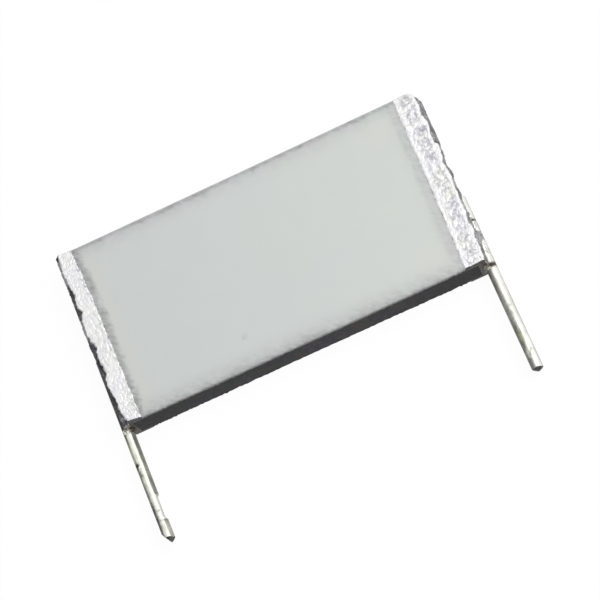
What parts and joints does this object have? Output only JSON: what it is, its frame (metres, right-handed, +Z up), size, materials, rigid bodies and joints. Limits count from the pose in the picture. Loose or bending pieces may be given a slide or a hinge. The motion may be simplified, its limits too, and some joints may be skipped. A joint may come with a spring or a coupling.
{
  "type": "stacked film capacitor",
  "caption": "Uncased film capacitor: a flat block of stacked film under milky cover film, with rough sprayed metal ends and round tinned wires that plug into a board.",
  "frame": {"origin": "on the surface the part lies on, under the middle of the outline of block and leads", "axes": "+X from the left end to the right along the lead pitch, -Y the way the leads point, +Z up out of the front cover film"},
  "size_m": [0.0284, 0.022, 0.003],
  "materials": {
    "film_edge": "sawn, finely layered",
    "cover_film": "milky satin film, greyer at its edges",
    "sprayed_metal": "rough flame-sprayed zinc",
    "tinned_wire": "bright tinned, lightly marked",
    "weld_metal": "dull, heat-browned"
  },
  "bodies": {
    "root": {"film_stack": "film_edge", "front_cover_film": "cover_film", "back_cover_film": "cover_film", "left_end_metal": "sprayed_metal", "right_end_metal": "sprayed_metal", "left_lead": "tinned_wire", "right_lead": "tinned_wire", "left_weld_bead": "weld_metal", "right_weld_bead": "weld_metal"}
  },
  "joints": []
}
